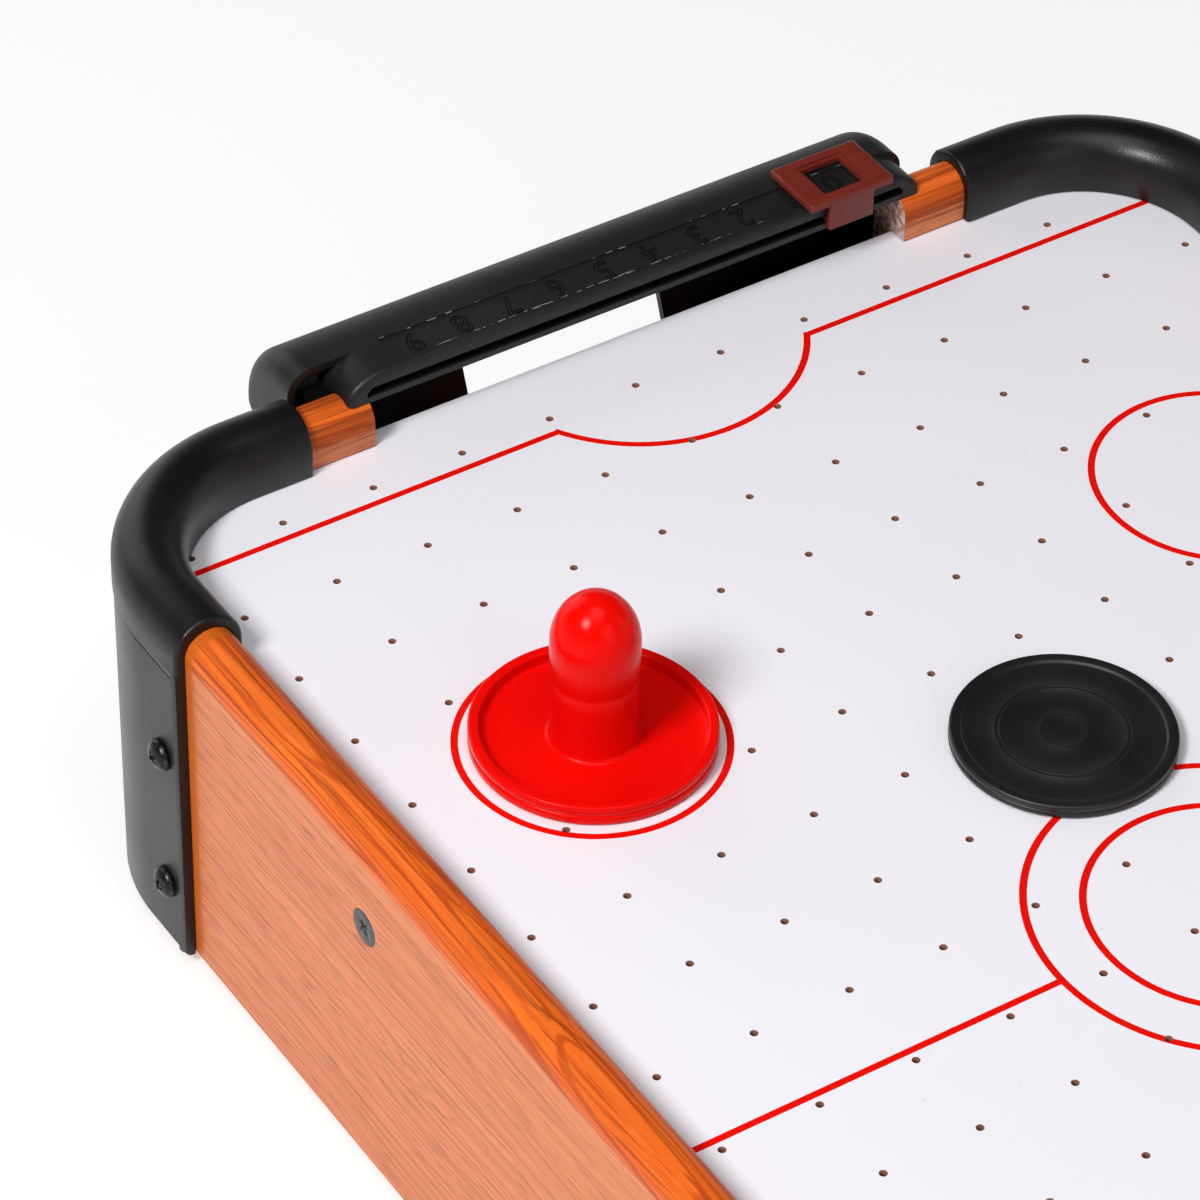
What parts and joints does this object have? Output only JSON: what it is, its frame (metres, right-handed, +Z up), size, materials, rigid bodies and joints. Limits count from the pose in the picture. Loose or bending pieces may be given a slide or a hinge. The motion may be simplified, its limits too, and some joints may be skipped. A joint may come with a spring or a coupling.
{
  "type": "tabletop air hockey table",
  "caption": "Tabletop air hockey game: wood frame, drilled white field, black corner caps and goal hoods, red pushers, black puck, sliding scorers and a battery blower inside.",
  "frame": {"origin": "on the ground under the middle of the table, the bottom centre of the bounding box", "axes": "+X along the length, from the left goal to the right goal; +Y across the width, from the front rail to the back rail; +Z up"},
  "size_m": [0.532, 0.3212, 0.1298],
  "materials": {
    "side_wood": "satin clear lacquer",
    "field_laminate": "gloss white laminate on thin fibreboard",
    "black_plastic": "fine pebbled, slight sheen",
    "slider_plastic": "translucent dark red",
    "red_plastic": "glossy",
    "puck_plastic": "satin",
    "white_felt": "felt",
    "black_screw": "black oxide",
    "grey_screw": "dull grey",
    "hardboard": "plain hardboard",
    "batten_wood": "raw softwood",
    "foot_rubber": "matt",
    "fan_plastic": "satin",
    "impeller_plastic": "plain moulded",
    "motor_steel": "plated can",
    "cable_sheath": "smooth"
  },
  "bodies": {
    "table": {"back_left_corner_cap": "black_plastic", "back_left_foot": "foot_rubber", "back_left_hood_screw": "black_screw", "back_left_lower_cap_end_screw": "black_screw", "back_left_lower_cap_side_screw": "black_screw", "back_left_rail_screw": "grey_screw", "back_left_upper_cap_end_screw": "black_screw", "back_left_upper_cap_side_screw": "black_screw", "back_right_corner_cap": "black_plastic", "back_right_foot": "foot_rubber", "back_right_hood_screw": "black_screw", "back_right_lower_cap_end_screw": "black_screw", "back_right_lower_cap_side_screw": "black_screw", "back_right_rail_screw": "grey_screw", "back_right_upper_cap_end_screw": "black_screw", "back_right_upper_cap_side_screw": "black_screw", "back_side_rail": "side_wood", "base_panel": "hardboard", "battery_box": "fan_plastic", "battery_cable": "cable_sheath", "fan_guard": "fan_plastic", "fan_housing": "fan_plastic", "fan_motor": "motor_steel", "front_left_corner_cap": "black_plastic", "front_left_foot": "foot_rubber", "front_left_hood_screw": "black_screw", "front_left_lower_cap_end_screw": "black_screw", "front_left_lower_cap_side_screw": "black_screw", "front_left_rail_screw": "grey_screw", "front_left_upper_cap_end_screw": "black_screw", "front_left_upper_cap_side_screw": "black_screw", "front_right_corner_cap": "black_plastic", "front_right_foot": "foot_rubber", "front_right_hood_screw": "black_screw", "front_right_lower_cap_end_screw": "black_screw", "front_right_lower_cap_side_screw": "black_screw", "front_right_rail_screw": "grey_screw", "front_right_upper_cap_end_screw": "black_screw", "front_right_upper_cap_side_screw": "black_screw", "front_side_rail": "side_wood", "left_batten": "batten_wood", "left_end_panel": "side_wood", "left_goal_hood": "black_plastic", "motor_cable": "cable_sheath", "playfield": "field_laminate", "right_batten": "batten_wood", "right_end_panel": "side_wood", "right_goal_hood": "black_plastic", "switch_housing": "black_plastic"},
    "left_score_slider": {"left_score_slider": "slider_plastic"},
    "right_score_slider": {"right_score_slider": "slider_plastic"},
    "left_pusher": {"left_pusher": "red_plastic", "left_pusher_felt": "white_felt"},
    "right_pusher": {"right_pusher": "red_plastic", "right_pusher_felt": "white_felt"},
    "puck": {"puck": "puck_plastic"},
    "impeller": {"fan_impeller": "impeller_plastic"},
    "rocker": {"switch_rocker": "red_plastic"},
    "battery_cover": {"battery_cover": "fan_plastic"}
  },
  "joints": [
    {"name": "left_score_slide", "type": "slide", "parent": "table", "child": "left_score_slider", "axis": [0, -1, 0], "range_m": [0, 0.12]},
    {"name": "right_score_slide", "type": "slide", "parent": "table", "child": "right_score_slider", "axis": [0, 1, 0], "range_m": [0, 0.12]},
    {"name": "left_pusher_slide", "type": "slide", "parent": "table", "child": "left_pusher", "axis": [1, 0, 0], "range_m": [-0.081, 0.087]},
    {"name": "right_pusher_slide", "type": "slide", "parent": "table", "child": "right_pusher", "axis": [-1, 0, 0], "range_m": [-0.081, 0.087]},
    {"name": "puck_slide", "type": "slide", "parent": "table", "child": "puck", "axis": [1, 0, 0], "range_m": [-0.173, 0.295]},
    {"name": "impeller_spin", "type": "hinge", "parent": "table", "child": "impeller", "pos_m": [0, 0, 0.0238], "axis": [0, 0, 1], "continuous": true},
    {"name": "rocker_tilt", "type": "hinge", "parent": "table", "child": "rocker", "pos_m": [0.06, 0.1548, 0.045], "axis": [0, 0, 1], "range_deg": [0, 13]},
    {"name": "battery_cover_slide", "type": "slide", "parent": "table", "child": "battery_cover", "axis": [1, 0, 0], "range_m": [0, 0.06]}
  ]
}
